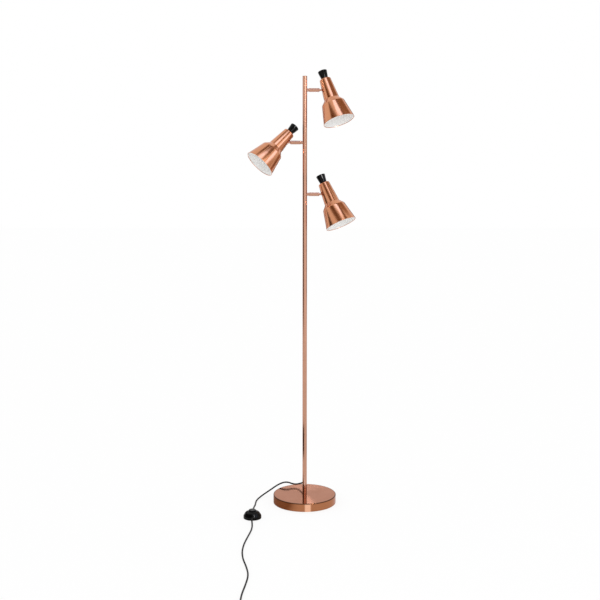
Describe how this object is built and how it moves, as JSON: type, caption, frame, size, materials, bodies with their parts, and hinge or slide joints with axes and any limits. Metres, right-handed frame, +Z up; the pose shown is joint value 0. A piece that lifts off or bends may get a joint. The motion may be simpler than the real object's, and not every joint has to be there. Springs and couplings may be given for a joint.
{
  "type": "floor lamp",
  "caption": "Free-standing floor lamp: a round weighted base, a slim pole, and spot heads that turn and tilt on short arms, with a foot switch in the cord.",
  "frame": {"origin": "on the floor under the middle of the pole, on the flat underside of the base pad", "axes": "+Z up along the pole, +X along the arms to the side that carries two heads, -Y to the front that the shades face"},
  "size_m": [0.3936, 1.0945, 1.5555],
  "materials": {
    "copper_plate": "steel plated with copper, brushed along the turning and lacquered; the inside of the shades is sprayed white",
    "iron": "raw casting",
    "pad": "foam rubber sheet",
    "zinc_steel": "zinc plated",
    "black_rubber": "moulded, satin",
    "cord_jacket": "extruded, satin",
    "wire_jacket": "extruded, satin",
    "black_gloss": "moulded, polished",
    "black_matt": "moulded, fine grain",
    "holder_plastic": "moulded",
    "nylon": "moulded",
    "tie_band": "flat band",
    "plated_brass": "nickel plated"
  },
  "bodies": {
    "root": {"base_shell": "copper_plate", "base_weight": "iron", "base_pad": "pad", "foot_rod": "zinc_steel", "foot_nut": "zinc_steel", "pole_lower": "copper_plate", "pole_middle": "copper_plate", "pole_upper": "copper_plate", "pole_inserts": "zinc_steel", "pole_couplers": "zinc_steel", "pole_cap": "copper_plate", "cord_grommet": "black_rubber", "pole_wiring": "wire_jacket", "arm_spigots": "copper_plate", "arm_saddle_nuts": "zinc_steel", "arm_sleeves": "copper_plate", "switch_cover": "black_gloss", "switch_plate": "black_matt", "switch_spring": "zinc_steel", "switch_reliefs": "black_rubber", "cord_lamp": "cord_jacket", "cord_mains": "cord_jacket", "cord_coil": "cord_jacket", "coil_tie": "tie_band", "plug_body": "black_matt", "plug_pins": "plated_brass"},
    "foot_button": {"switch_button": "black_gloss"},
    "top_swivel": {"top_swivel_stem": "copper_plate", "top_friction_ring": "nylon", "top_stem_leads": "wire_jacket"},
    "top_head": {"top_shade": "copper_plate", "top_aiming_knob": "black_gloss", "top_head_stud": "zinc_steel", "top_head_bracket": "zinc_steel", "top_hinge_pins": "zinc_steel", "top_lamp_holder": "holder_plastic", "top_socket_contacts": "plated_brass", "top_holder_leads": "wire_jacket"},
    "left_swivel": {"left_swivel_stem": "copper_plate", "left_friction_ring": "nylon", "left_stem_leads": "wire_jacket"},
    "left_head": {"left_shade": "copper_plate", "left_aiming_knob": "black_gloss", "left_head_stud": "zinc_steel", "left_head_bracket": "zinc_steel", "left_hinge_pins": "zinc_steel", "left_lamp_holder": "holder_plastic", "left_socket_contacts": "plated_brass", "left_holder_leads": "wire_jacket"},
    "lower_swivel": {"lower_swivel_stem": "copper_plate", "lower_friction_ring": "nylon", "lower_stem_leads": "wire_jacket"},
    "lower_head": {"lower_shade": "copper_plate", "lower_aiming_knob": "black_gloss", "lower_head_stud": "zinc_steel", "lower_head_bracket": "zinc_steel", "lower_hinge_pins": "zinc_steel", "lower_lamp_holder": "holder_plastic", "lower_socket_contacts": "plated_brass", "lower_holder_leads": "wire_jacket"}
  },
  "joints": [
    {"name": "top_arm_turn", "type": "hinge", "parent": "root", "child": "top_swivel", "pos_m": [0.065, 0, 1.484], "axis": [-1, 0, 0], "range_deg": [-183.6, 146.4]},
    {"name": "top_head_tilt", "type": "hinge", "parent": "top_swivel", "child": "top_head", "pos_m": [0.065, 0, 1.484], "axis": [0, -0.9478, 0.319], "range_deg": [-22.6, 27.4]},
    {"name": "left_arm_turn", "type": "hinge", "parent": "root", "child": "left_swivel", "pos_m": [-0.065, 0, 1.304], "axis": [-1, 0, 0], "range_deg": [-192, 138]},
    {"name": "left_head_tilt", "type": "hinge", "parent": "left_swivel", "child": "left_head", "pos_m": [-0.065, 0, 1.304], "axis": [0, 0.891, -0.454], "range_deg": [-45.2, 4.8]},
    {"name": "lower_arm_turn", "type": "hinge", "parent": "root", "child": "lower_swivel", "pos_m": [0.065, 0, 1.124], "axis": [-1, 0, 0], "range_deg": [-182.7, 147.3]},
    {"name": "lower_head_tilt", "type": "hinge", "parent": "lower_swivel", "child": "lower_head", "pos_m": [0.065, 0, 1.124], "axis": [0, -0.9527, 0.304], "range_deg": [-27.3, 22.7]},
    {"name": "foot_button_press", "type": "slide", "parent": "root", "child": "foot_button", "axis": [0, 0, -1], "range_m": [0, 0.0035], "stiffness_N_per_m": 1200, "springref_m": -0.0015, "deforming": ["switch_spring"]}
  ]
}
